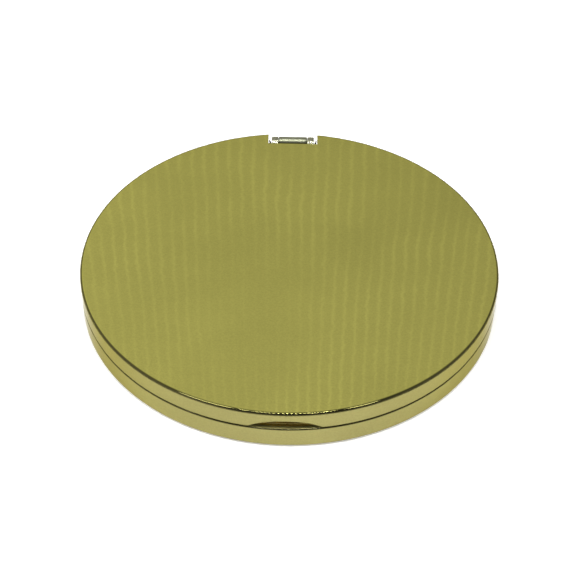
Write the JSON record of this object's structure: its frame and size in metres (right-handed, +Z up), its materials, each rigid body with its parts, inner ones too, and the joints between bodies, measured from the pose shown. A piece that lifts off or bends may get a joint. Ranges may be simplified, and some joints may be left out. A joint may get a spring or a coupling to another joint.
{
  "type": "powder compact",
  "caption": "Slim round polished brass powder compact with a flat hinged lid, thumb notch, mirror, refill pan, puff and spring catch.",
  "frame": {"origin": "centre of the flat underside", "axes": "+Z up through the lid, +Y towards the hinge, -Y towards the thumb notch, +X to the right"},
  "size_m": [0.074, 0.074, 0.0079],
  "materials": {
    "lid_brass": "polished, with a fan of fine wavy lines on the flat top",
    "case_brass": "polished",
    "inner_brass": "satin",
    "hinge_brass": "polished",
    "rivet_brass": "polished",
    "pin_steel": "drawn wire",
    "ring_wire": "drawn wire",
    "spring_metal": "rolled strip",
    "pan_metal": "drawn, satin",
    "powder": "pressed cosmetic powder with a fine cloth texture",
    "clear_film": "clear film",
    "puff_velour": "short velour pile",
    "puff_satin": "satin weave",
    "ribbon_satin": "satin ribbon",
    "mirror_glass": "silvered glass",
    "card": "grey-brown card"
  },
  "bodies": {
    "base": {"base_shell": "case_brass", "inner_frame": "inner_brass", "base_hinge_leaf": "hinge_brass", "hinge_pin": "pin_steel", "pan_pad": "card", "refill_pan": "pan_metal", "pressed_powder": "powder", "retaining_ring": "ring_wire", "powder_film": "clear_film", "puff_pad": "puff_velour", "puff_back": "puff_satin", "puff_ribbon": "ribbon_satin", "catch_bracket": "inner_brass"},
    "catch": {"catch_spring": "spring_metal"},
    "lid": {"lid_shell": "lid_brass", "mirror_frame": "inner_brass", "mirror": "mirror_glass", "mirror_backing": "card", "lid_hinge_leaf": "hinge_brass", "lid_catch_hook": "inner_brass", "hook_rivets": "rivet_brass"}
  },
  "joints": [
    {"name": "lid_hinge", "type": "hinge", "parent": "base", "child": "lid", "pos_m": [0, 0.036, 0.0064], "axis": [-1, 0, 0], "range_deg": [0, 120]},
    {"name": "catch_flex", "type": "hinge", "parent": "base", "child": "catch", "pos_m": [0, -0.03495, 0.001], "axis": [1, 0, 0], "range_deg": [0, 9], "stiffness_Nm_per_rad": 0.002}
  ]
}
